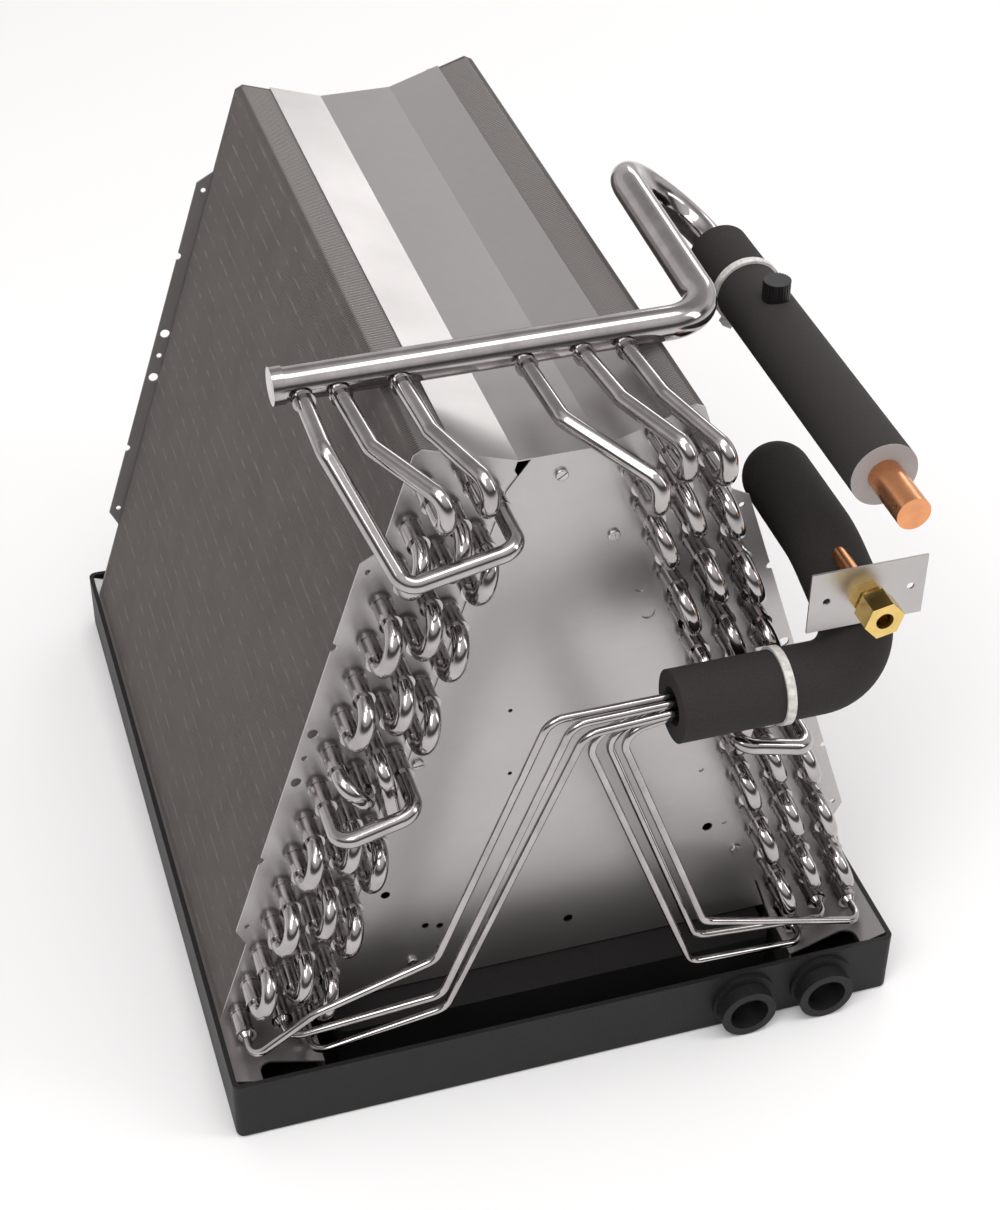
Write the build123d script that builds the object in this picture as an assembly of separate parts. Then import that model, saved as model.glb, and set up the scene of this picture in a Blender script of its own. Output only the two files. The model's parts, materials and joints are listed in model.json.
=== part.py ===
"""A-coil evaporator: two leaning finned slabs in a moulded drain pan, with tube circuits and valve."""

import os
from math import cos, radians, sin, tan

from build123d import *

os.makedirs("parts", exist_ok=True)

# Slabs. In a slab's own frame u runs up it, v out of its outer face and w to the front.
LEAN = radians(18.0)
BASE_X = 192.3
BASE_Z = 46.2
DEPTH = 426.0
PITCH = 25.4
ROW = 19.05
TUBES = 16
SHEET = 1.0
LIP = 14.0
LIP_START = 30.0
FIN_LOW = -PITCH / 4
FIN_HIGH = FIN_LOW + TUBES * PITCH
FIN_OUT = 9.5
FIN_IN = -47.6
FIN_CHAMFER = 4.0
FIN_STEP = 4.0
FIN_T = 1.6
FIN_GROOVE = 1.5

# Tubes
TUBE_R = 4.76
TUBE_WALL = 0.7
BELL_R = 5.75
BELL_LIP_R = 6.3
BELL_LIP = 1.6
BELL_START = 2.5
BELL_END = 20.2
INSERT = 10.0
BEND_START = 21.0
REAR_START = 1.5
CROSS_REACH = 33.0
JUMPER_REACH = 50.0
JUMPER_BEND = 10.0
FEEDER_R = 2.38
FEEDER_BEND = 12.0

# Flange along each tube sheet
FLANGE_OUT = 18.3
FLANGE_MID = 196.0
FLANGE_HALF = 141.0
FLANGE_CORNER = 9.5
FLANGE_HOLE_V = 12.7
END_HOLE_U = 127.0
END_HOLE_R = 1.7
NOTCH_U = 76.6
NOTCH_R = 2.6
PAIR_HOLE_U = 17.4
PAIR_HOLE_R = 3.2
MID_HOLE_R = 1.8

# Drain pan
PAN_X = BASE_X + 15.5
PAN_FRONT = -56.0
PAN_BACK = DEPTH + 23.0
PAN_H = 44.0
PAN_WALL = 3.0
PAN_FLOOR = 3.0
PAN_CORNER = 5.0
RIDGE_W = 4.0
RIDGE_H = 37.0
OPEN_X = 134.0
OPEN_FRONT = 3.0
LEDGE_FRONT = -26.0
OPEN_BACK = PAN_BACK - 12.0
PORT_X = (109.0, 160.0)
PORT_Z = 18.5
PORT_R = 17.6
PORT_BORE_R = 12.3
PORT_FRONT = PAN_FRONT - 12.0
HOOD_R = 20.0
HOOD_RISE = 3.0
HOOD_FRONT = PAN_FRONT - 3.0

# Rails under the slabs
RAIL_T = 1.2
RAIL_NOTCH_X = 189.0
RAIL_NOTCH_BACK = -34.0
RAIL_NOTCH_CORNER = 9.0

# Sheets between the slabs
PLATE_T = 0.8
PLATE_BOTTOM = 38.0
CAP_EDGE_V = -13.0
SCREW_R = 3.6
SCREW_H = 2.2
SCREW_SHANK_R = 1.7
SCREW_SHANK = 8.0
SCREW_SLOT = 0.9
# Screws and holes of the triangular plate: places as shares of its half width and height, then radii.
SCREW_SPOTS = (
    (0.0014, 0.9669), (0.2118, 0.8445), (-0.2063, 0.8378), (-0.5514, 0.4771),
    (-0.5893, 0.0505), (0.8315, 0.1492),
)
PLATE_HOLES = (
    (-0.5307, 0.1262, 2.2), (-0.4692, 0.119, 2.2), (-0.4761, 0.0717, 1.3), (0.0918, 0.0703, 3.0),
    (-0.6956, 0.2137, 2.8), (-0.1773, 0.5468, 1.3), (-0.1753, 0.4193, 1.3), (0.3312, 0.7364, 3.0),
    (0.3699, 0.6856, 4.0), (0.6452, 0.3425, 1.6), (0.6935, 0.2126, 3.2), (0.7687, 0.2145, 1.6),
)

# Suction line
HEADER_R = 9.52
HEADER_WALL = 1.0
HEADER_Y = 60.0
HEADER_RISE = 29.04
HEADER_LEFT = -137.0
HEADER_BEND = 26.0
CAP_R = 10.4
CAP_LENGTH = 5.0
CAP_END_T = 1.5
LEG_X = 106.0
LEG_BACK = 192.0
LEG_CLIMB = 6.0
SUCTION_X = 161.0
SUCTION_DROP = 41.0
LINE_R = 9.3
TURN_BACK = 196.0
TURN_REACH = 34.0
TURN_BEND = 33.0
STUB_FRONT = -86.0
STUB_END_T = 1.0
STUB_GAP = 0.3
KNEE_Y = 2.0
HOOK_Y = -45.0
LOW_KNEE_X = -98.0
LOW_KNEE_Y = -52.0
LOW_KNEE_DROP = 57.0
COLLAR_R = 6.2
COLLAR_H = 2.5
FOAM_R = 19.0
FOAM_FRONT = -50.0
FOAM_TIE = 142.0
FOAM_BACK = 186.0
TIE_T = 1.6
TIE_W = 5.0
SERVICE_Y = 102.0
SERVICE_STEM_R = 4.0
SERVICE_CAP_R = 8.0
SERVICE_CAP_H = 12.0
SERVICE_RISE = 30.0

# Expansion valve, its wrap and the liquid fitting
WRAP_R = 20.5
WRAP_BORE = 11.0
WRAP_Y = -61.0
WRAP_Z = 278.0
WRAP_LEFT = 46.0
WRAP_TIE_X = 107.0
WRAP_RIGHT = 166.0
WRAP_TOP_Y = -2.0
WRAP_TOP_Z = 322.0
WRAP_BACK = 64.0
WRAP_BACK_X = 155.0
FITTING_X = 155.0
FITTING_Z = 328.5
ACCESS_Y = -58.0
ACCESS_X = (122.0, 189.5)
ACCESS_Z = (309.0, 348.0)
ACCESS_T = 1.2
ACCESS_HOLES = (132.0, 181.0)
ACCESS_HOLE_R = 2.2
HEX_BACK = 17.0
HEX_FRONT = 20.0
LIQUID_BORE_R = 4.76
VALVE_R = 9.0
VALVE_FRONT = 0.0
OUTLET_DROP = 4.0
DIST_LEFT = 62.0
DIST_RIGHT = 100.0
DIST_R = 8.5
DIST_RING = 5.6
FEEDER_REACH = 36.0
THREAD_R = 6.4
NUT_BORE_R = 5.0


def at(u, v, w):
    """A point of the left slab's frame in the part's frame."""
    return (-BASE_X + u * sin(LEAN) - v * cos(LEAN), -w, BASE_Z + u * cos(LEAN) + v * sin(LEAN))


top = at(FIN_HIGH, FIN_IN, 0)
TOP_X, TOP_Z = -top[0], top[2]
LOW_U = (PLATE_BOTTOM - at(0, FIN_IN, 0)[2]) / cos(LEAN)
LOW_X = -at(LOW_U, FIN_IN, 0)[0]
HEADER_Z = TOP_Z + HEADER_RISE
LEG_BACK_Z = HEADER_Z + LEG_CLIMB
SUCTION_Z = HEADER_Z - SUCTION_DROP
SERVICE_TOP = SUCTION_Z + SERVICE_RISE


def on_plate(across, up):
    """The x and z of a spot given as shares of the triangular plate."""
    return across * LOW_X, PLATE_BOTTOM + up * (TOP_Z - PLATE_BOTTOM)


FRONT_SCREWS = [on_plate(*spot) for spot in SCREW_SPOTS]
LEFT = Plane(origin=at(0, 0, 0), x_dir=(sin(LEAN), 0, cos(LEAN)), z_dir=(0, -1, 0))


def place(shape):
    """Moves a shape from the left slab's frame into the part's."""
    return shape.moved(LEFT.location)


def flip(shape):
    """The right slab's twin of a left shape."""
    return mirror(shape, about=Plane.YZ)


def bent(points, radius):
    """A line through the points with every corner rounded."""
    points = [Vector(*p) if isinstance(p, tuple) else p for p in points]
    edges, start = [], points[0]
    for a, b, c in zip(points, points[1:], points[2:]):
        one, two = (b - a).normalized(), (c - b).normalized()
        half = radians(one.get_angle(two)) / 2
        if half < 0.02:
            continue
        r = min(radius, 0.95 * (b - start).length / tan(half), 0.48 * (c - b).length / tan(half))
        side = (two - one).normalized()
        centre = b + side * (r / cos(half))
        p, q = b - one * (r * tan(half)), b + two * (r * tan(half))
        edges += [Edge.make_line(start, p), Edge.make_three_point_arc(p, centre - side * r, q)]
        start = q
    edges.append(Edge.make_line(start, points[-1]))
    return Wire(edges)


def tube(path, radius, wall=0.0):
    """Sweeps a round tube or rod along a path."""
    profile = Circle(radius) - Circle(radius - wall) if wall else Circle(radius)
    return sweep(Plane(origin=path @ 0, z_dir=path % 0) * profile, path=path)


def ring(r_out, r_in, start, end):
    """An upright ring between two heights."""
    return Pos(0, 0, (start + end) / 2) * (Cylinder(r_out, end - start) - Cylinder(r_in, end - start + 2))


def rod(r, start, end):
    """An upright rod between two heights."""
    return Pos(0, 0, (start + end) / 2) * Cylinder(r, end - start)


def save(shape, name, colour):
    """Writes one node."""
    solids = shape.solids() if hasattr(shape, "solids") else [s for x in shape for s in x.solids()]
    out = solids[0] if len(solids) == 1 else Compound(children=list(solids))
    out = out.moved(Location((0, -(PAN_BACK + STUB_FRONT) / 2, 0)))
    out.label, out.color = name, Color(*colour)
    export_step(out, f"parts/{name}.step")


SHINY = (0.72, 0.70, 0.70)
SATIN = (0.68, 0.66, 0.65)
FIN = (0.42, 0.40, 0.39)
BLACK = (0.05, 0.05, 0.05)
FOAM = (0.10, 0.09, 0.09)
COPPER = (0.72, 0.40, 0.22)
BRASS = (0.78, 0.60, 0.28)
TIE = (0.75, 0.74, 0.72)

row_v = {"outer": 0.0, "middle": -ROW, "inner": -2 * ROW}
row_u = {"outer": 0.0, "middle": PITCH / 2, "inner": 0.0}


def tube_u(row, number):
    return row_u[row] + (number - 1) * PITCH


# Fins: one comb-edged block a slab, bored for its tubes.
count = int((DEPTH - 2 * SHEET) / FIN_STEP)
outline, low, high = [], FIN_IN, FIN_OUT
for side, edge, inward in ((0, high, -FIN_GROOVE), (1, low, FIN_GROOVE)):
    steps = []
    for i in range(count):
        w = -SHEET - i * FIN_STEP
        steps += [(edge, w), (edge, w - FIN_T), (edge + inward, w - FIN_T), (edge + inward, w - FIN_STEP)]
    outline += steps if side == 0 else steps[::-1]
fin_block = extrude(Plane.YZ * make_face(Polyline(*outline, close=True)), FIN_HIGH - FIN_LOW)
fin_block = Pos(FIN_LOW, 0, 0) * fin_block
corner = Plane.XY * make_face(
    Polyline(
        (FIN_HIGH + 1, FIN_OUT + 1), (FIN_HIGH + 1, FIN_OUT - FIN_CHAMFER - 1),
        (FIN_HIGH - FIN_CHAMFER - 1, FIN_OUT + 1), close=True,
    )
)
corner = extrude(corner, DEPTH + 20, both=True)
drills = [
    Pos(tube_u(row, n), row_v[row], 0) * Circle(TUBE_R) for row in row_v for n in range(1, TUBES + 1)
]
drill = extrude(Sketch() + drills, DEPTH + 20, both=True)
fin_block = fin_block - corner - drill
save(place(fin_block), "left_fin_pack", FIN)
save(flip(place(fin_block)), "right_fin_pack", FIN)

# Tube sheets, each with an inner lip behind the triangular plate and a drilled outer flange.
outline = [
    (FIN_LOW, FIN_IN), (LIP_START, FIN_IN), (LIP_START + 10, FIN_IN - LIP), (FIN_HIGH - 20, FIN_IN - LIP),
    (FIN_HIGH - 6, FIN_IN), (FIN_HIGH, FIN_IN), (FIN_HIGH, FIN_OUT - FIN_CHAMFER),
    (FIN_HIGH - FIN_CHAMFER, FIN_OUT), (FLANGE_MID + FLANGE_HALF, FIN_OUT),
    (FLANGE_MID + FLANGE_HALF - FLANGE_CORNER, FLANGE_OUT),
    (FLANGE_MID - FLANGE_HALF + FLANGE_CORNER, FLANGE_OUT), (FLANGE_MID - FLANGE_HALF, FIN_OUT),
    (FIN_LOW, FIN_OUT),
]
sheet = make_face(Polyline(*outline, close=True))
cuts = []
for s in (-1, 1):
    cuts.append(Pos(FLANGE_MID + s * END_HOLE_U, FLANGE_HOLE_V) * Circle(END_HOLE_R))
    cuts.append(Pos(FLANGE_MID + s * NOTCH_U, FLANGE_OUT) * Circle(NOTCH_R))
    cuts.append(Pos(FLANGE_MID + s * PAIR_HOLE_U, FLANGE_HOLE_V) * Circle(PAIR_HOLE_R))
cuts.append(Pos(FLANGE_MID, FLANGE_HOLE_V) * Circle(MID_HOLE_R))
sheet = sheet - cuts - drills
for side in ("left", "right"):
    for end, w in (("front", -SHEET), ("rear", -DEPTH)):
        piece = place(Pos(0, 0, w) * extrude(sheet, SHEET))
        if side == "right":
            piece = flip(piece)
        for x, z in FRONT_SCREWS:
            piece = piece - Pos(x, -w, z) * Rot(90, 0, 0) * Cylinder(SCREW_SHANK_R, 6)
        save(piece, f"{side}_{end}_tubesheet", SATIN)

# Triangular plates closing the gap between the slabs.


def delta(y, clip):
    near = 1.5
    corners = [(-LOW_X + near, PLATE_BOTTOM), (LOW_X - near, PLATE_BOTTOM), (TOP_X, TOP_Z)]
    corners += [(-TOP_X + 7, TOP_Z), (-TOP_X - 6, TOP_Z - 17.5)] if clip else [(-TOP_X, TOP_Z)]
    face = Plane.XZ * make_face(Polyline(*corners, close=True))
    plate = extrude(face, PLATE_T)
    plate = Pos(0, y, 0) * plate
    for x, z in FRONT_SCREWS:
        plate = plate - Pos(x, y, z) * Rot(90, 0, 0) * Cylinder(SCREW_SHANK_R, 6)
    if clip:
        for across, up, r in PLATE_HOLES:
            x, z = on_plate(across, up)
            plate = plate - Pos(x, y, z) * Rot(90, 0, 0) * Cylinder(r, 6)
    return plate


save(delta(0, True), "front_delta_plate", SATIN)
save(delta(DEPTH + PLATE_T, False), "rear_delta_plate", SATIN)

# Slotted screws holding the plates.
screw = rod(SCREW_R, 0, SCREW_H) + rod(SCREW_SHANK_R, -SCREW_SHANK, 0)
screw = screw.fillet(0.8, screw.edges().filter_by(GeomType.CIRCLE).group_by(Axis.Z)[-1])
screw = screw - Pos(0, 0, SCREW_H) * Box(2 * SCREW_R, SCREW_SLOT, 1.6)
front, rear = [], []
for i, (x, z) in enumerate(FRONT_SCREWS):
    front.append(Pos(x, -PLATE_T, z) * Rot(90, 0, 0) * Rot(0, 0, 35 + 50 * i) * screw)
    rear.append(Pos(x, DEPTH + PLATE_T, z) * Rot(-90, 0, 0) * Rot(0, 0, 20 + 50 * i) * screw)
save(front + rear, "plate_screws", SATIN)

# Top cap: one folded sheet with a flat middle and a flange up each slab's end.
cap_t = PLATE_T
inner, outer = at(FIN_HIGH, FIN_IN, 0), at(FIN_HIGH, CAP_EDGE_V, 0)
inner_up, outer_up = at(FIN_HIGH + cap_t, FIN_IN, 0), at(FIN_HIGH + cap_t, CAP_EDGE_V, 0)
profile = [
    (outer[0], outer[2]), (inner[0], inner[2]), (-inner[0], inner[2]), (-outer[0], outer[2]),
    (-outer_up[0], outer_up[2]), (-inner_up[0] - 0.13, inner[2] + cap_t), (inner_up[0] + 0.13, inner[2] + cap_t),
    (outer_up[0], outer_up[2]),
]
cap = extrude(Plane.XZ * make_face(Polyline(*profile, close=True)), DEPTH + 2 * PLATE_T)
save(Pos(0, DEPTH + PLATE_T, 0) * cap, "top_cap", SATIN)

# Hairpin tubes: two belled legs at the front and a bend at the back.
leg = DEPTH + REAR_START
path = Wire([
    Edge.make_line((0, 0, BELL_START), (0, 0, -leg)),
    Edge.make_three_point_arc((0, 0, -leg), (PITCH / 2, 0, -leg - PITCH / 2), (PITCH, 0, -leg)),
    Edge.make_line((PITCH, 0, -leg), (PITCH, 0, BELL_START)),
])
bell = ring(BELL_R, TUBE_R, BELL_START, BELL_END) + ring(BELL_LIP_R, TUBE_R, BELL_START, BELL_START + BELL_LIP)
bell = bell + ring(BELL_LIP_R, TUBE_R, BELL_END - BELL_LIP, BELL_END)
bell = bell + ring(BELL_R, TUBE_R - TUBE_WALL, BELL_START, BELL_START + 1.0)
hairpin = tube(path, TUBE_R, TUBE_WALL) + bell + Pos(PITCH, 0, 0) * bell
for row in row_v:
    group = [place(Pos(tube_u(row, n), row_v[row], 0) * hairpin) for n in range(1, TUBES, 2)]
    save(group, f"left_{row}_hairpins", SHINY)
    save([flip(x) for x in group], f"right_{row}_hairpins", SHINY)

# Return bends between hairpins of one row.
start = BELL_END - INSERT
path = Wire([
    Edge.make_line((0, 0, start), (0, 0, BEND_START)),
    Edge.make_three_point_arc((0, 0, BEND_START), (PITCH / 2, 0, BEND_START + PITCH / 2), (PITCH, 0, BEND_START)),
    Edge.make_line((PITCH, 0, BEND_START), (PITCH, 0, start)),
])
bend = tube(path, TUBE_R, TUBE_WALL)
for row in row_v:
    group = [place(Pos(tube_u(row, n), row_v[row], 0) * bend) for n in (2, 4, 6, 10, 12, 14)]
    save(group, f"left_{row}_return_bends", SHINY)
    save([flip(x) for x in group], f"right_{row}_return_bends", SHINY)

# Crossovers between rows.
group = []
for a, b in (("outer", "middle"), ("middle", "inner")):
    p, q = (tube_u(a, 9), row_v[a]), (tube_u(b, 8), row_v[b])
    path = bent([(*p, start), (*p, CROSS_REACH), (*q, CROSS_REACH), (*q, start)], JUMPER_BEND)
    group.append(place(tube(path, TUBE_R, TUBE_WALL)))
save(group, "left_crossover_bends", SHINY)
save([flip(x) for x in group], "right_crossover_bends", SHINY)

# Jumper from the inner row to the outer row, standing clear of the bends.
p, q = (tube_u("inner", 9), row_v["inner"]), (tube_u("outer", 8), row_v["outer"])
path = bent([(*p, start), (*p, JUMPER_REACH), (*q, JUMPER_REACH), (*q, start)], JUMPER_BEND)
jumper = place(tube(path, TUBE_R, TUBE_WALL))
save(jumper, "left_jumper", SHINY)
save(flip(jumper), "right_jumper", SHINY)

# Suction header: one bent tube, six branch bores, a cap on its left end.
header_path = bent(
    [(HEADER_LEFT, HEADER_Y, HEADER_Z), (LEG_X, HEADER_Y, HEADER_Z), (LEG_X, LEG_BACK, LEG_BACK_Z)], HEADER_BEND
)
header = tube(header_path, HEADER_R, HEADER_WALL)
LEFT_OUTER, LEFT_MIDDLE, LEFT_INNER = (at(tube_u(r, TUBES), row_v[r], 0) for r in row_v)


def other(p):
    return (-p[0], p[1], p[2])


# Each branch: its place along the header as a share of its straight run, its knee's offset from there, its bell.
branch_data = (
    (0.0535, (0.0, -5.0), LEFT_INNER, "low"), (0.1317, (5.0, -7.0), LEFT_OUTER, "hook"),
    (0.2675, (3.0, -3.0), LEFT_MIDDLE, "hook"), (0.5432, (6.0, -9.0), other(LEFT_INNER), "hook"),
    (0.6749, (6.0, -3.0), other(LEFT_MIDDLE), "hook"), (0.7737, (5.0, -5.0), other(LEFT_OUTER), "hook"),
)
branches = []
for share, (knee_x, knee_z), bell_at, kind in branch_data:
    bx, _, bz = bell_at
    x = HEADER_LEFT + share * (LEG_X - HEADER_LEFT)
    points = [(x, HEADER_Y - 5.0, HEADER_Z - 3.0), (x + knee_x, KNEE_Y, HEADER_Z + knee_z)]
    if kind == "low":
        points += [(LOW_KNEE_X, LOW_KNEE_Y, HEADER_Z - LOW_KNEE_DROP), (bx, LOW_KNEE_Y, bz)]
    else:
        points += [(bx, HOOK_Y, bz + 20.0), (bx, HOOK_Y - 2.0, bz)]
    points.append((bx, INSERT - BELL_END, bz))
    branches.append((points, tube(bent(points, 9.9), TUBE_R, TUBE_WALL)))
    header = header - tube(bent(points[:2], 5), TUBE_R)
run = [(HEADER_LEFT - 2, HEADER_Y, HEADER_Z), (LEG_X - HEADER_BEND, HEADER_Y, HEADER_Z)]
header_inside = tube(bent(run, 5), HEADER_R)
save(header, "suction_header", SHINY)
for i, (points, shape) in enumerate(branches):
    shape = shape - header_inside
    path = bent([points[0], points[1]], 5)
    way = (Vector(*points[1]) - Vector(*points[0])).normalized()
    spot = Vector(*points[0]) + way * (HEADER_R - 2.5)
    collar = Plane(origin=spot, z_dir=way) * rod(COLLAR_R, 0, COLLAR_H) - header_inside
    shape = shape + (collar - tube(path, TUBE_R - 0.3))
    shape = max(shape.solids(), key=lambda s: s.volume)
    save(shape, f"suction_branch_{i + 1}", SHINY)
cup = Pos(HEADER_LEFT, HEADER_Y, HEADER_Z) * Rot(0, 90, 0) * (
    ring(CAP_R, HEADER_R, 0, CAP_LENGTH) + rod(CAP_R, -CAP_END_T, 0)
)
save(cup, "header_end_cap", SHINY)

# The turn from the header's leg into the insulated line, and the line's copper tube.
leg_end = Vector(LEG_X, LEG_BACK, LEG_BACK_Z)
leg_way = (leg_end - Vector(LEG_X, HEADER_Y, HEADER_Z)).normalized()
line_end = Vector(SUCTION_X, FOAM_TIE, SUCTION_Z)
turn_far = Vector(SUCTION_X, TURN_BACK + TURN_REACH, SUCTION_Z)
turn = tube(bent([leg_end, leg_end + leg_way * TURN_REACH, turn_far, line_end], TURN_BEND), HEADER_R, HEADER_WALL)
save(turn, "suction_return_bend", SHINY)
bare_end = FOAM_FRONT - STUB_GAP
line = Pos(SUCTION_X, 0, SUCTION_Z) * Rot(90, 0, 0)
stub = line * (
    ring(HEADER_R, LINE_R - HEADER_WALL, -bare_end, -STUB_FRONT) + ring(LINE_R, LINE_R - HEADER_WALL, -FOAM_TIE, -bare_end)
    + rod(HEADER_R, -STUB_FRONT - STUB_END_T, -STUB_FRONT)
)
service = Pos(SUCTION_X, SERVICE_Y, 0)
stub = stub - service * rod(SERVICE_STEM_R - 1.5, SUCTION_Z, SUCTION_Z + 20)
save(stub, "suction_copper_tube", COPPER)


def lengthwise(shape):
    return Rot(90, 0, 0) * shape


foam_long = Pos(SUCTION_X, 0, SUCTION_Z) * lengthwise(ring(FOAM_R, LINE_R, -FOAM_TIE, -FOAM_FRONT))
stem = service * rod(SERVICE_STEM_R, SUCTION_Z + 5, SERVICE_TOP - 3)
stem = stem - service * rod(SERVICE_STEM_R - 1.5, SUCTION_Z, SERVICE_TOP)
stem = stem - Pos(SUCTION_X, SERVICE_Y, SUCTION_Z) * lengthwise(Cylinder(LINE_R, 60))
foam_long = foam_long - service * rod(SERVICE_STEM_R, SUCTION_Z, SERVICE_TOP)
cap_solid = service * (
    rod(SERVICE_CAP_R, SERVICE_TOP - SERVICE_CAP_H, SERVICE_TOP) - rod(SERVICE_STEM_R, SERVICE_TOP - 20, SERVICE_TOP - 3)
)
knurl = [
    service * Rot(0, 0, 360 / 28 * i) * Pos(SERVICE_CAP_R, 0, SERVICE_TOP - SERVICE_CAP_H / 2) * Box(0.9, 0.7, SERVICE_CAP_H)
    for i in range(28)
]
cap_solid = cap_solid - knurl
cap_solid = cap_solid - Pos(SUCTION_X, SERVICE_Y, SUCTION_Z) * lengthwise(Cylinder(FOAM_R, 60))
save(foam_long, "suction_foam_front", FOAM)
save(stem, "service_port_stem", COPPER)
save(cap_solid, "service_port_cap", BLACK)
foam_short = Pos(SUCTION_X, 0, SUCTION_Z) * lengthwise(ring(FOAM_R, HEADER_R, -FOAM_BACK, -FOAM_TIE))
save(foam_short, "suction_foam_rear", FOAM)
band = ring(FOAM_R + TIE_T, FOAM_R, -TIE_W / 2, TIE_W / 2)
lock = Pos(FOAM_R + TIE_T + 1.5, 0, 0) * Box(4.5, 6, TIE_W + 1.5)
lock = lock - Cylinder(FOAM_R + 0.5, 20)
save(Pos(SUCTION_X, FOAM_TIE, SUCTION_Z) * lengthwise(Rot(0, 0, -120) * (band + lock)), "suction_foam_tie", TIE)

# Wrap around the expansion valve.
wrap_path = bent(
    [
        (WRAP_TIE_X, WRAP_Y, WRAP_Z), (WRAP_RIGHT, WRAP_Y, WRAP_Z), (WRAP_BACK_X, WRAP_TOP_Y, WRAP_TOP_Z),
        (WRAP_BACK_X, WRAP_BACK, WRAP_TOP_Z),
    ],
    32,
)
wrap = tube(wrap_path, WRAP_R) + Pos(WRAP_BACK_X, WRAP_BACK, WRAP_TOP_Z) * Sphere(WRAP_R)
bore_path = bent(
    [
        (WRAP_TIE_X, WRAP_Y, WRAP_Z), (WRAP_RIGHT, WRAP_Y, WRAP_Z), (WRAP_BACK_X, WRAP_TOP_Y, WRAP_TOP_Z),
        (WRAP_BACK_X, WRAP_BACK - 6, WRAP_TOP_Z),
    ],
    32,
)
wrap = wrap - tube(bore_path, WRAP_BORE)
fitting_hole = Pos(FITTING_X, 0, FITTING_Z) * lengthwise(rod(LIQUID_BORE_R, 0, -ACCESS_Y + 20))
wrap = wrap - fitting_hole
save(wrap, "valve_foam_elbow", FOAM)
sleeve = Pos(0, WRAP_Y, WRAP_Z) * Rot(0, 90, 0) * ring(WRAP_R, WRAP_BORE, WRAP_LEFT, WRAP_TIE_X)
save(sleeve, "valve_foam_sleeve", FOAM)
band = ring(WRAP_R + TIE_T, WRAP_R, -TIE_W / 2, TIE_W / 2)
lock = Pos(WRAP_R + TIE_T + 1.5, 0, 0) * Box(4.5, 6, TIE_W + 1.5) - Cylinder(WRAP_R + 0.5, 20)
save(Pos(WRAP_TIE_X, WRAP_Y, WRAP_Z) * Rot(0, 90, 0) * Rot(0, 0, 100) * (band + lock), "valve_foam_tie", TIE)

# Expansion valve inside the wrap, its outlet to the distributor and the liquid tube to the front fitting.
valve = Pos(WRAP_BACK_X, 0, WRAP_TOP_Z) * lengthwise(
    rod(WRAP_BORE, -WRAP_BACK + 7, -WRAP_BACK + 19) + rod(VALVE_R, -WRAP_BACK + 19, 0)
)
outlet_z = WRAP_TOP_Z - OUTLET_DROP
outlet_path = bent(
    [
        (DIST_RIGHT - 6, WRAP_Y, WRAP_Z), (WRAP_RIGHT, WRAP_Y, WRAP_Z), (WRAP_BACK_X, WRAP_TOP_Y, outlet_z),
        (WRAP_BACK_X, WRAP_TOP_Y + 14, outlet_z),
    ],
    32,
)
outlet = tube(outlet_path, TUBE_R, TUBE_WALL)
valve = valve - tube(outlet_path, TUBE_R)
save(valve, "expansion_valve", BRASS)
save(outlet, "valve_outlet_tube", COPPER)
head = Pos(0, WRAP_Y, WRAP_Z) * Rot(0, 90, 0) * (
    rod(DIST_R, DIST_LEFT, DIST_LEFT + 12) + Pos(0, 0, DIST_LEFT + 17) * Cone(DIST_R, TUBE_R + 1.5, 10)
    + rod(TUBE_R + 1.5, DIST_LEFT + 22, DIST_RIGHT)
)
head = head - outlet - Pos(DIST_RIGHT - 3, WRAP_Y, WRAP_Z) * Rot(0, 90, 0) * Cylinder(TUBE_R, 6.001)

# Feeder tubes from the distributor to the lowest tube of every row.
LOW_OUTER, LOW_MIDDLE, LOW_INNER = (at(tube_u(r, 1), row_v[r], 0) for r in row_v)
# Each feeder: its bell, its angle round the distributor and its knees, in tube pitches.
feeder_data = (
    (LOW_OUTER, 60, ((-0.890, -2.291, 11.122), (-3.299, -1.969, 4.311), (-6.102, -1.811, 3.228))),
    (LOW_MIDDLE, 120, ((-0.441, -2.512, 11.079), (-3.217, -2.087, 3.236))),
    (LOW_INNER, 180, ((-0.201, -2.622, 10.843), (-3.051, -1.811, 2.441))),
    (other(LOW_INNER), 0, ((-0.106, -2.421, 10.488), (2.992, -1.850, 2.126))),
    (other(LOW_MIDDLE), 300, ((0.394, -2.244, 10.311), (3.150, -1.634, 2.756))),
    (other(LOW_OUTER), 240, ((0.583, -2.559, 10.610), (3.150, -2.047, 3.661))),
)
for i, (end, angle, middle) in enumerate(feeder_data):
    turn_y = DIST_RING * cos(radians(angle))
    turn_z = DIST_RING * sin(radians(angle))
    begin = (DIST_LEFT + 5, WRAP_Y + turn_y, WRAP_Z + turn_z)
    neck = (WRAP_LEFT - 2, WRAP_Y + turn_y, WRAP_Z + turn_z)
    reach = -FEEDER_REACH - (4.0 if i in (0, 5) else 0.0)
    middle = [tuple(PITCH * c for c in knee) for knee in middle]
    points = [begin, neck, *middle, (end[0], reach, end[2] + 2.0), (end[0], -BELL_END + INSERT, end[2])]
    feeder = tube(bent(points, FEEDER_BEND), FEEDER_R)
    head = head - Pos(DIST_LEFT + 2.5, WRAP_Y + turn_y, WRAP_Z + turn_z) * Rot(0, 90, 0) * Cylinder(FEEDER_R, 5.001)
    plug = Pos(end[0], 0, end[2]) * lengthwise(
        rod(TUBE_R, BELL_END - INSERT, BELL_END) + Pos(0, 0, BELL_END + 1.5) * Cone(TUBE_R, FEEDER_R + 0.6, 3)
    )
    save(feeder + plug, f"feeder_tube_{i + 1}", SHINY)
save(head, "distributor", BRASS)

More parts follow.
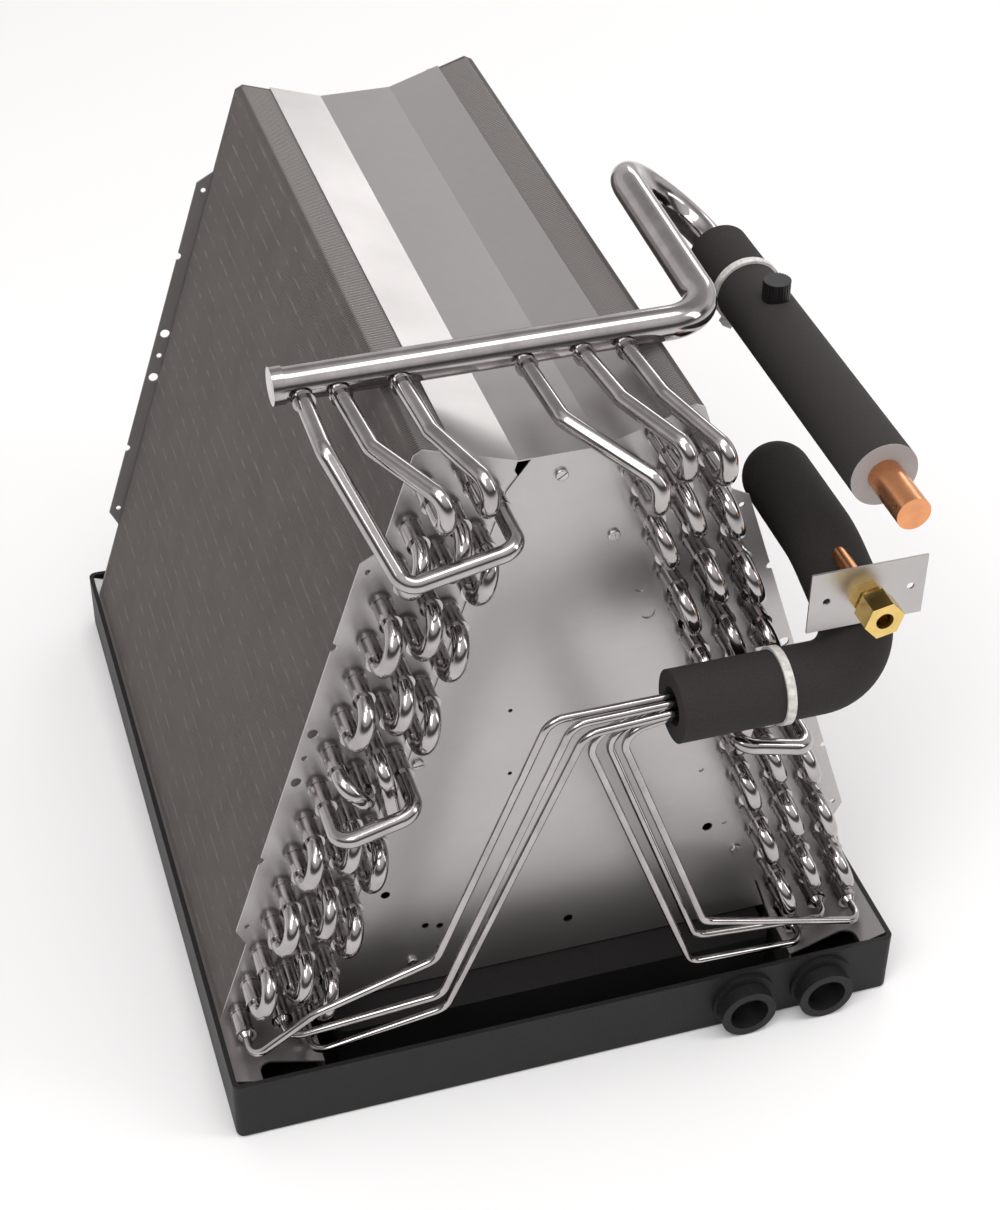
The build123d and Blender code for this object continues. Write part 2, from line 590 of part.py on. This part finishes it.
# Access plate with the liquid fitting through it.
ax = (ACCESS_X[0] + ACCESS_X[1]) / 2
plate = Pos(ax, ACCESS_Y, sum(ACCESS_Z) / 2) * Box(ACCESS_X[1] - ACCESS_X[0], ACCESS_T, ACCESS_Z[1] - ACCESS_Z[0])
for x in ACCESS_HOLES:
    plate = plate - Pos(x, ACCESS_Y, FITTING_Z) * lengthwise(Cylinder(ACCESS_HOLE_R, 6))
plate = plate - Pos(FITTING_X, ACCESS_Y, FITTING_Z) * lengthwise(Cylinder(THREAD_R, 6))
save(plate, "access_plate", SATIN)


def hexagon(across_flats, start, end):
    face = RegularPolygon(across_flats / 2, 6, major_radius=False)
    return extrude(Plane.XY.offset(start) * face, end - start)


front_face = -ACCESS_Y + ACCESS_T / 2
back_face = -ACCESS_Y - ACCESS_T / 2
fitting = Pos(FITTING_X, 0, FITTING_Z) * lengthwise(
    Rot(0, 0, 12) * hexagon(HEX_BACK, front_face, front_face + 6)
    + rod(THREAD_R, back_face - 12, front_face + 15) - rod(LIQUID_BORE_R, back_face - 20, front_face + 40)
)
save(fitting, "liquid_fitting", BRASS)
nut = Pos(FITTING_X, 0, FITTING_Z) * lengthwise(
    Rot(0, 0, 12) * hexagon(HEX_FRONT, front_face + 10, front_face + 24)
    - rod(THREAD_R, front_face + 9, front_face + 15) - rod(NUT_BORE_R, front_face + 5, front_face + 40)
)
save(nut, "liquid_flare_nut", BRASS)
liquid = Pos(FITTING_X, 0, FITTING_Z) * lengthwise(
    rod(LIQUID_BORE_R, VALVE_FRONT, front_face + 8) - rod(LIQUID_BORE_R - 0.8, VALVE_FRONT - 1, front_face + 9)
)
save(liquid - valve, "liquid_tube", COPPER)

# Drain pan with an open centre, a ridge around it and two threaded drain ports.
y_mid, y_len = (PAN_FRONT + PAN_BACK) / 2, PAN_BACK - PAN_FRONT
shell = Pos(0, y_mid, PAN_H / 2) * Box(2 * PAN_X, y_len, PAN_H)
shell = fillet(shell.edges().filter_by(Axis.Z), PAN_CORNER)
shell = fillet(shell.edges().group_by(Axis.Z)[0], 2.0)
cavity = Pos(0, y_mid, PAN_FLOOR + PAN_H / 2) * Box(2 * (PAN_X - PAN_WALL), y_len - 2 * PAN_WALL, PAN_H)
cavity = fillet(cavity.edges().filter_by(Axis.Z), PAN_CORNER - 2)
shell = shell - cavity
o_mid, o_len = (OPEN_FRONT + OPEN_BACK) / 2, OPEN_BACK - OPEN_FRONT
r_mid, r_len = (LEDGE_FRONT + OPEN_BACK + RIDGE_W) / 2, OPEN_BACK + RIDGE_W - LEDGE_FRONT
ridge = Pos(0, r_mid, RIDGE_H / 2 + 0.5) * Box(2 * OPEN_X + 2 * RIDGE_W, r_len, RIDGE_H - 1)
ridge = fillet(ridge.edges().filter_by(Axis.Z), 6)
shell = shell + ridge - Pos(0, o_mid, 30) * Box(2 * OPEN_X, o_len, 100)
for x in PORT_X:
    port = Pos(x, 0, PORT_Z) * lengthwise(
        rod(PORT_R, -PAN_FRONT - PAN_WALL, -PORT_FRONT)
        + Pos(0, HOOD_RISE, 0) * rod(HOOD_R, -PAN_FRONT - PAN_WALL, -HOOD_FRONT)
    )
    shell = shell + port
for x in PORT_X:
    shell = shell - Pos(x, 0, PORT_Z) * lengthwise(rod(PORT_BORE_R, -PAN_FRONT - 20, -PORT_FRONT + 5))
save(shell, "drain_pan", BLACK)

# Support rails: a channel under each slab, notched at the front.
floor = PAN_FLOOR
wall_x = -(PAN_X - PAN_WALL)
bottom_in, bottom_out = at(FIN_LOW, FIN_IN, 0), at(FIN_LOW, FIN_OUT, 0)
slope = tan(LEAN)


def web_z(x):
    return bottom_in[2] + (bottom_in[0] - x) * slope


rail = Polyline(
    (wall_x, floor), (wall_x + RAIL_T, floor), (wall_x + RAIL_T, web_z(wall_x + RAIL_T) - 1.3 * RAIL_T),
    (bottom_in[0] - RAIL_T, web_z(bottom_in[0] - RAIL_T) - 1.05 * RAIL_T), (bottom_in[0] - RAIL_T, floor),
    (bottom_in[0], floor), (bottom_in[0], bottom_in[2]), (wall_x, web_z(wall_x)), close=True,
)
rail_gap = PAN_CORNER - 2 + 0.2
length = PAN_BACK - PAN_FRONT - 2 * (PAN_WALL + rail_gap)
rail = extrude(Plane.XZ * make_face(rail), length)
rail = Pos(0, PAN_BACK - PAN_WALL - rail_gap, 0) * rail
rail_front = PAN_FRONT + PAN_WALL + rail_gap
notch_w, notch_l = RAIL_NOTCH_X + bottom_in[0] + 5, RAIL_NOTCH_BACK - rail_front + 10
notch = Pos(-RAIL_NOTCH_X + notch_w / 2, RAIL_NOTCH_BACK - notch_l / 2, 50) * Box(notch_w, notch_l, 100)
notch = fillet(notch.edges().filter_by(Axis.Z).sort_by(lambda e: e.center().X - e.center().Y)[0], RAIL_NOTCH_CORNER)
rail = rail - notch
save(rail, "left_support_rail", SATIN)
save(flip(rail), "right_support_rail", SATIN)
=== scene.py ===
import json
from math import cos, radians, sin

import bpy
from mathutils import Matrix, Vector

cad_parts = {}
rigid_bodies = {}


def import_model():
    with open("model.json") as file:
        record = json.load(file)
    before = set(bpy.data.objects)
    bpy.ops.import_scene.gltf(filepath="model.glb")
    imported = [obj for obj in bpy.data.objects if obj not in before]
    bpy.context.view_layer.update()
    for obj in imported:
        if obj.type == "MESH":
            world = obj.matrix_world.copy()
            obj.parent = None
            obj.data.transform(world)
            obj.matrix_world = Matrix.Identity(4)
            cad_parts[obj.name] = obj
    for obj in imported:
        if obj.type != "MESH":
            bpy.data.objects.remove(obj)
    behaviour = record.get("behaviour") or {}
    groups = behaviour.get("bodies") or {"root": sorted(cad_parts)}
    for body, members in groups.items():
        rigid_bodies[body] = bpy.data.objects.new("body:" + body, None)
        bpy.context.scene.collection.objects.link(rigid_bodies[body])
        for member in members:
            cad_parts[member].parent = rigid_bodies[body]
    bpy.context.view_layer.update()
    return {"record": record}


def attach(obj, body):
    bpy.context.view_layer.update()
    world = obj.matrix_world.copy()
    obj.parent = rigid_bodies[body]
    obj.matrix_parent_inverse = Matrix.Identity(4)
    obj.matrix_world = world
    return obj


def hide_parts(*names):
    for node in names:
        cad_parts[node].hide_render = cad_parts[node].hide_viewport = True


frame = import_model()

# ---------------------------------------------------------------- sizes, in metres
Y0 = -0.1815
LEAN = radians(18.0)
BASE_X, BASE_Z = 0.1923, 0.0462
DEPTH = 0.426
FIN_LOW, FIN_HIGH = -0.00635, 0.40005
FIN_IN, FIN_OUT = -0.0476, 0.0095
FIN_CHAMFER = 0.004
HALF_PITCH = 0.0127
FIN_STEP, FIN_T = 0.0019, 0.00028
FIRST_FIN, LAST_FIN = 0.0012, 0.0014
CORE_INSET, CORE_TOP, CORE_FOOT = 0.0026, 0.0016, 0.001
FOAM_FACE_Y = -0.050 + Y0 + 0.0003
THREADS_Y = (-0.0740 + Y0, -0.0647 + Y0)


def at(u, v, w, side=-1):
    """A point of a slab's frame in the part's frame; side -1 is the left slab."""
    x = -BASE_X + u * sin(LEAN) - v * cos(LEAN)
    return Vector((-side * x, Y0 - w, BASE_Z + u * cos(LEAN) + v * sin(LEAN)))


# ---------------------------------------------------------------- node helpers
class Net:
    """A short way to write shader nodes."""

    def __init__(self, name):
        self.mat = bpy.data.materials.new(name)
        self.mat.use_nodes = True
        self.tree = self.mat.node_tree
        self.bsdf = self.tree.nodes["Principled BSDF"]

    def node(self, kind, **inputs):
        n = self.tree.nodes.new(kind)
        for key, value in inputs.items():
            key = key.replace("_", " ")
            if hasattr(value, "is_output"):
                self.tree.links.new(value, n.inputs[key])
            else:
                n.inputs[key].default_value = value
        return n

    def math(self, op, a, b=0.0, clamp=False):
        n = self.tree.nodes.new("ShaderNodeMath")
        n.operation, n.use_clamp = op, clamp
        for i, value in enumerate((a, b)):
            if hasattr(value, "is_output"):
                self.tree.links.new(value, n.inputs[i])
            else:
                n.inputs[i].default_value = value
        return n.outputs[0]

    def mix(self, fac, a, b):
        n = self.tree.nodes.new("ShaderNodeMix")
        n.data_type = "RGBA"
        for i, value in ((0, fac), (6, a), (7, b)):
            if hasattr(value, "is_output"):
                self.tree.links.new(value, n.inputs[i])
            else:
                n.inputs[i].default_value = (*value, 1.0) if isinstance(value, tuple) else value
        return n.outputs[2]

    def position(self):
        return self.node("ShaderNodeTexCoord").outputs["Object"]

    def xyz(self):
        n = self.node("ShaderNodeSeparateXYZ", Vector=self.position())
        return n.outputs[0], n.outputs[1], n.outputs[2]

    def noise(self, scale, detail=3.0, rough=0.55, stretch=None):
        place = self.position()
        if stretch:
            m = self.node("ShaderNodeMapping", Vector=place, Scale=stretch)
            place = m.outputs[0]
        n = self.node("ShaderNodeTexNoise", Vector=place, Scale=scale, Detail=detail, Roughness=rough)
        return n.outputs["Fac"]

    def ramp(self, fac, low, high):
        return self.node("ShaderNodeMapRange", Value=fac, From_Min=low, From_Max=high).outputs[0]

    def bump(self, height, strength, distance):
        n = self.node("ShaderNodeBump", Height=height, Strength=strength, Distance=distance)
        self.tree.links.new(n.outputs[0], self.bsdf.inputs["Normal"])

    def link(self, out, socket):
        self.tree.links.new(out, self.bsdf.inputs[socket])

    def set(self, **values):
        for key, value in values.items():
            whole = (*value, 1.0) if isinstance(value, tuple) else value
            self.bsdf.inputs[key.replace("_", " ")].default_value = whole


def polished(name, colour, rough, dark):
    """Drawn, polished tube: clean metal with a faint draw grain and a few duller patches."""
    m = Net(name)
    m.set(Metallic=1.0)
    patches = m.ramp(m.noise(60.0, 4.0), 0.35, 0.75)
    m.link(m.mix(patches, colour, dark), "Base Color")
    m.link(m.math("ADD", m.math("MULTIPLY", patches, 0.10), rough), "Roughness")
    m.bump(m.noise(900.0, 2.0), 0.05, 0.0002)
    return m.mat


def satin(name, colour, rough=0.36):
    """Galvanised sheet: satin, with a faint spangle and soft clouding."""
    m = Net(name)
    m.set(Metallic=0.92)
    spangle = m.node("ShaderNodeTexVoronoi", Vector=m.position(), Scale=160.0).outputs["Color"]
    grey = m.node("ShaderNodeSeparateColor", Color=spangle).outputs[0]
    cloud = m.noise(14.0, 4.0)
    tone = m.math("ADD", m.math("MULTIPLY", grey, 0.10), m.math("MULTIPLY", cloud, 0.5), clamp=True)
    dark = tuple(c * 0.80 for c in colour)
    m.link(m.mix(tone, colour, dark), "Base Color")
    m.link(m.math("ADD", m.math("MULTIPLY", cloud, 0.12), rough - 0.06), "Roughness")
    m.bump(m.noise(500.0, 3.0), 0.06, 0.0003)
    return m.mat


def fins(name):
    """Fin edges: dull grey aluminium with light rows at the tube collars; the slab's top end is painted
    lighter, a painted highlight where the rim catches the light from above.
    """
    m = Net(name)
    x, y, z = m.xyz()
    side = m.math("ABSOLUTE", x)
    u = m.math("ADD", m.math("MULTIPLY", m.math("SUBTRACT", BASE_X, side), sin(LEAN)),
               m.math("MULTIPLY", m.math("SUBTRACT", z, BASE_Z), cos(LEAN)))
    turn = m.math("FRACT", m.math("DIVIDE", m.math("ADD", u, HALF_PITCH), HALF_PITCH))
    row = m.math("ABSOLUTE", m.math("SUBTRACT", turn, 0.5))
    band = m.ramp(row, 0.40, 0.5)
    speck = m.ramp(m.noise(260.0, 2.0, stretch=(1.0, 0.35, 1.0)), 0.45, 0.7)
    light = m.math("MULTIPLY", band, speck)
    cloud = m.noise(35.0, 4.0)
    base = m.mix(cloud, (0.22, 0.195, 0.188), (0.30, 0.268, 0.260))
    # Painted highlight: the top end of each slab gets a lighter grey, standing in for the light its rim
    # catches from above.
    end = m.math("GREATER_THAN", u, FIN_HIGH - 0.0012)
    face = m.mix(m.math("MULTIPLY", light, 0.55), base, (0.62, 0.59, 0.57))
    m.link(m.mix(end, face, (0.46, 0.435, 0.425)), "Base Color")
    m.set(Metallic=0.45, Roughness=0.50)
    m.bump(m.noise(700.0, 2.0), 0.12, 0.0003)
    return m.mat


def plastic(name, colour, rough, grain, depth):
    """Moulded or foamed black with a fine grain."""
    m = Net(name)
    fine = m.noise(grain, 2.0)
    cloud = m.noise(25.0, 3.0)
    light = tuple(min(1.0, c * 1.7 + 0.004) for c in colour)
    m.link(m.mix(m.math("MULTIPLY", m.ramp(fine, 0.35, 0.8), 0.8), colour, light), "Base Color")
    m.link(m.math("ADD", m.math("MULTIPLY", cloud, 0.12), rough - 0.06), "Roughness")
    m.set(Specular_IOR_Level=0.32)
    m.bump(fine, 0.25, depth)
    return m.mat


def end_faced(mat_name, colour, face, y_edge, rough):
    """Foam whose cut end, at the front, is light grey."""
    m = Net(mat_name)
    fine = m.noise(1400.0, 2.0)
    y = m.xyz()[1]
    mask = m.math("LESS_THAN", y, y_edge)
    light = tuple(c * 1.6 for c in colour)
    skin = m.mix(m.ramp(fine, 0.35, 0.8), colour, light)
    m.link(m.mix(mask, skin, face), "Base Color")
    m.set(Roughness=rough)
    m.bump(fine, 0.25, 0.0004)
    return m.mat


def metal(name, colour, rough, plated=None, span=None):
    """Turned or drawn metal, plated in another colour between two depths where span is given."""
    m = Net(name)
    worn = m.ramp(m.noise(120.0, 3.0), 0.3, 0.8)
    skin = m.mix(worn, colour, tuple(c * 0.82 for c in colour))
    if span:
        y = m.xyz()[1]
        mask = m.math("MULTIPLY", m.math("GREATER_THAN", y, span[0]), m.math("LESS_THAN", y, span[1]))
        skin = m.mix(mask, skin, plated)
    m.link(skin, "Base Color")
    m.set(Metallic=1.0)
    m.link(m.math("ADD", m.math("MULTIPLY", worn, 0.12), rough), "Roughness")
    m.bump(m.noise(600.0, 2.0), 0.05, 0.0002)
    return m.mat


TUBE = polished("tube_metal", (0.47, 0.445, 0.44), 0.09, (0.34, 0.32, 0.315))
SHEET = satin("sheet_metal", (0.52, 0.50, 0.493))
SCREW = polished("screw_metal", (0.60, 0.58, 0.57), 0.22, (0.42, 0.40, 0.39))
FIN = fins("fin_metal")
PAN = plastic("pan_plastic", (0.0065, 0.0058, 0.0058), 0.55, 1100.0, 0.0004)
FOAM = plastic("foam", (0.022, 0.0185, 0.0185), 0.88, 1500.0, 0.0005)
FOAM_END = end_faced("foam_end", (0.022, 0.0185, 0.0185), (0.37, 0.35, 0.35), FOAM_FACE_Y, 0.88)
COPPER = metal("copper", (0.80, 0.36, 0.17), 0.24)
BRASS = metal("brass", (0.80, 0.57, 0.20), 0.20)
FITTING = metal("fitting_metal", (0.80, 0.57, 0.20), 0.20, (0.55, 0.53, 0.52), THREADS_Y)
TIE = plastic("tie_plastic", (0.52, 0.50, 0.48), 0.45, 300.0, 0.0001)
CAP = plastic("cap_plastic", (0.010, 0.009, 0.009), 0.40, 700.0, 0.0002)

slot_of = {s["node"]: s["material_slot"] for s in frame["record"]["subparts"]}
by_slot = {
    "fin": FIN, "sheet": SHEET, "tube": TUBE, "copper": COPPER, "brass": BRASS, "foam": FOAM, "tie": TIE,
    "cap": CAP, "pan": PAN,
}
special = {"plate_screws": SCREW, "suction_foam_front": FOAM_END, "liquid_fitting": FITTING}
for node, slot in slot_of.items():
    obj = bpy.data.objects[node]
    obj.data.materials.clear()
    obj.data.materials.append(special.get(node, by_slot[slot]))


def soften(obj, angle=35.0):
    """Shades an imported solid smooth up to an edge angle."""
    for poly in obj.data.polygons:
        poly.use_smooth = True
    obj.data.set_sharp_from_angle(angle=radians(angle))


# ---------------------------------------------------------------- fins
def mesh_object(name, verts, faces, material, node=None):
    data = bpy.data.meshes.new(name)
    data.from_pydata([tuple(v) for v in verts], [], faces)
    data.update()
    obj = bpy.data.objects.new(name, data)
    bpy.context.scene.collection.objects.link(obj)
    data.materials.append(material)
    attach(obj, "root")
    if node:
        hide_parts(node)
    return obj


def prism(verts, faces, outline, w0, w1, side):
    """Adds one extruded outline in a slab's frame."""
    n, first = len(outline), len(verts)
    for w in (w0, w1):
        verts += [at(u, v, w, side) for u, v in outline]
    flip = side > 0
    ring = [first + i for i in range(n)]
    back = [first + n + i for i in range(n)]
    faces.append(ring if flip else ring[::-1])
    faces.append(back[::-1] if flip else back)
    for i in range(n):
        j = (i + 1) % n
        quad = [ring[i], ring[j], back[j], back[i]]
        faces.append(quad[::-1] if flip else quad)


fin_line = [
    (FIN_LOW, FIN_IN), (FIN_HIGH, FIN_IN), (FIN_HIGH, FIN_OUT - FIN_CHAMFER),
    (FIN_HIGH - FIN_CHAMFER, FIN_OUT), (FIN_LOW, FIN_OUT),
]
core_high, core_out = FIN_HIGH - CORE_TOP, FIN_OUT - CORE_INSET
core_line = [
    (FIN_LOW + CORE_FOOT, FIN_IN + CORE_INSET), (core_high, FIN_IN + CORE_INSET),
    (core_high, core_out - FIN_CHAMFER), (core_high - 0.005, core_out), (FIN_LOW + CORE_FOOT, core_out),
]
for side, name in ((-1, "left"), (1, "right")):
    verts, faces = [], []
    w = -FIRST_FIN
    while w > -DEPTH + LAST_FIN:
        prism(verts, faces, fin_line, w, w - FIN_T, side)
        w -= FIN_STEP
    prism(verts, faces, core_line, -FIRST_FIN, -DEPTH + FIRST_FIN, side)
    mesh_object(f"{name}_fins", verts, faces, FIN, f"{name}_fin_pack")

# ---------------------------------------------------------------- camera
LENS, SENSOR = 69.9471, 36.0
az, el, roll = radians(-17.59), radians(38.70), radians(0.63)
toward = Vector((sin(az) * cos(el), -cos(az) * cos(el), sin(el)))
look = -toward
right = look.cross(Vector((0, 0, 1))).normalized()
up = right.cross(look)
right, up = cos(roll) * right + sin(roll) * up, -sin(roll) * right + cos(roll) * up
spot = Vector((-0.33057, -0.94110 + Y0, 1.10996))
cam_data = bpy.data.cameras.new("camera")
cam_data.sensor_fit = "VERTICAL"
cam_data.sensor_height = SENSOR
cam_data.lens = LENS
cam = bpy.data.objects.new("camera", cam_data)
cam.matrix_world = Matrix((
    (right.x, up.x, -look.x, spot.x),
    (right.y, up.y, -look.y, spot.y),
    (right.z, up.z, -look.z, spot.z),
    (0, 0, 0, 1),
))
bpy.context.scene.collection.objects.link(cam)
bpy.context.scene.camera = cam

# ---------------------------------------------------------------- floor, world and lamps
floor_data = bpy.data.meshes.new("floor")
floor_data.from_pydata([(-8, -8, 0), (8, -8, 0), (8, 8, 0), (-8, 8, 0)], [], [(0, 1, 2, 3)])
floor = bpy.data.objects.new("floor", floor_data)
bpy.context.scene.collection.objects.link(floor)
m = Net("floor_white")
m.set(Base_Color=(0.93, 0.93, 0.93), Roughness=0.9)
floor_data.materials.append(m.mat)

world = bpy.data.worlds.new("studio")
world.use_nodes = True
bpy.context.scene.world = world
tree = world.node_tree
tree.nodes.clear()
coord = tree.nodes.new("ShaderNodeTexCoord")
split = tree.nodes.new("ShaderNodeSeparateXYZ")
tree.links.new(coord.outputs["Generated"], split.inputs[0])


def bands(socket, low, stops):
    """A grey ramp over one direction cosine, from low to 1."""
    span = tree.nodes.new("ShaderNodeMapRange")
    span.inputs["From Min"].default_value = low
    tree.links.new(socket, span.inputs["Value"])
    ramp = tree.nodes.new("ShaderNodeValToRGB")
    tree.links.new(span.outputs[0], ramp.inputs[0])
    marks = ramp.color_ramp.elements
    for k, (where, grey) in enumerate(stops):
        mark = marks[k] if k < 2 else marks.new(min(1.0, where))
        mark.position = (where - low) / (1.0 - low)
        mark.color = (grey, grey * 0.975, grey * 0.97, 1.0)
    return ramp.outputs[0]


# Behind the coil the room is mid grey above a white wash; in front a broad soft source hangs overhead.
rear_side = bands(split.outputs[2], -1.0, (
    (-1.0, 0.80), (1.0, 0.95), (-0.02, 0.55), (0.06, 0.85),
    (0.42, 0.78), (0.55, 0.50), (0.80, 0.38), (0.93, 0.80),
))
front_side = bands(split.outputs[2], -1.0, (
    (-1.0, 0.80), (1.0, 0.95), (-0.02, 0.42), (0.10, 0.10), (0.30, 0.10),
    (0.42, 0.55), (0.75, 0.95),
))
turn = tree.nodes.new("ShaderNodeMapRange")
turn.inputs["From Min"].default_value = -0.15
turn.inputs["From Max"].default_value = 0.15
tree.links.new(split.outputs[1], turn.inputs["Value"])
room = tree.nodes.new("ShaderNodeMix")
room.data_type = "RGBA"
tree.links.new(turn.outputs[0], room.inputs[0])
tree.links.new(front_side, room.inputs[6])
tree.links.new(rear_side, room.inputs[7])
back = tree.nodes.new("ShaderNodeBackground")
tree.links.new(room.outputs[2], back.inputs[0])
back.inputs[1].default_value = 1.0
out = tree.nodes.new("ShaderNodeOutputWorld")
tree.links.new(back.outputs[0], out.inputs[0])


def lamp(name, place, aim, size, power):
    data = bpy.data.lights.new(name, "AREA")
    data.shape, data.size, data.size_y, data.energy = "RECTANGLE", size[0], size[1], power
    obj = bpy.data.objects.new(name, data)
    obj.location = place
    obj.rotation_euler = (Vector(aim) - Vector(place)).to_track_quat("-Z", "Y").to_euler()
    bpy.context.scene.collection.objects.link(obj)


lamp("key", (-1.5, -1.5, 2.5), (0, 0, 0.2), (1.3, 1.3), 27.0)
lamp("top", (0.2, -0.5, 2.9), (0, 0, 0.2), (2.2, 1.0), 22.0)
lamp("fill", (1.9, -1.0, 1.5), (0, 0, 0.2), (0.5, 1.6), 9.0)
lamp("low_rear", (1.55, 2.1, 1.25), (0, 0.1, 0.4), (1.3, 0.6), 7.0)

for obj in list(bpy.context.scene.objects):
    if obj.type == "MESH" and obj.name in slot_of:
        soften(obj)

bpy.context.scene.view_settings.view_transform = "Standard"
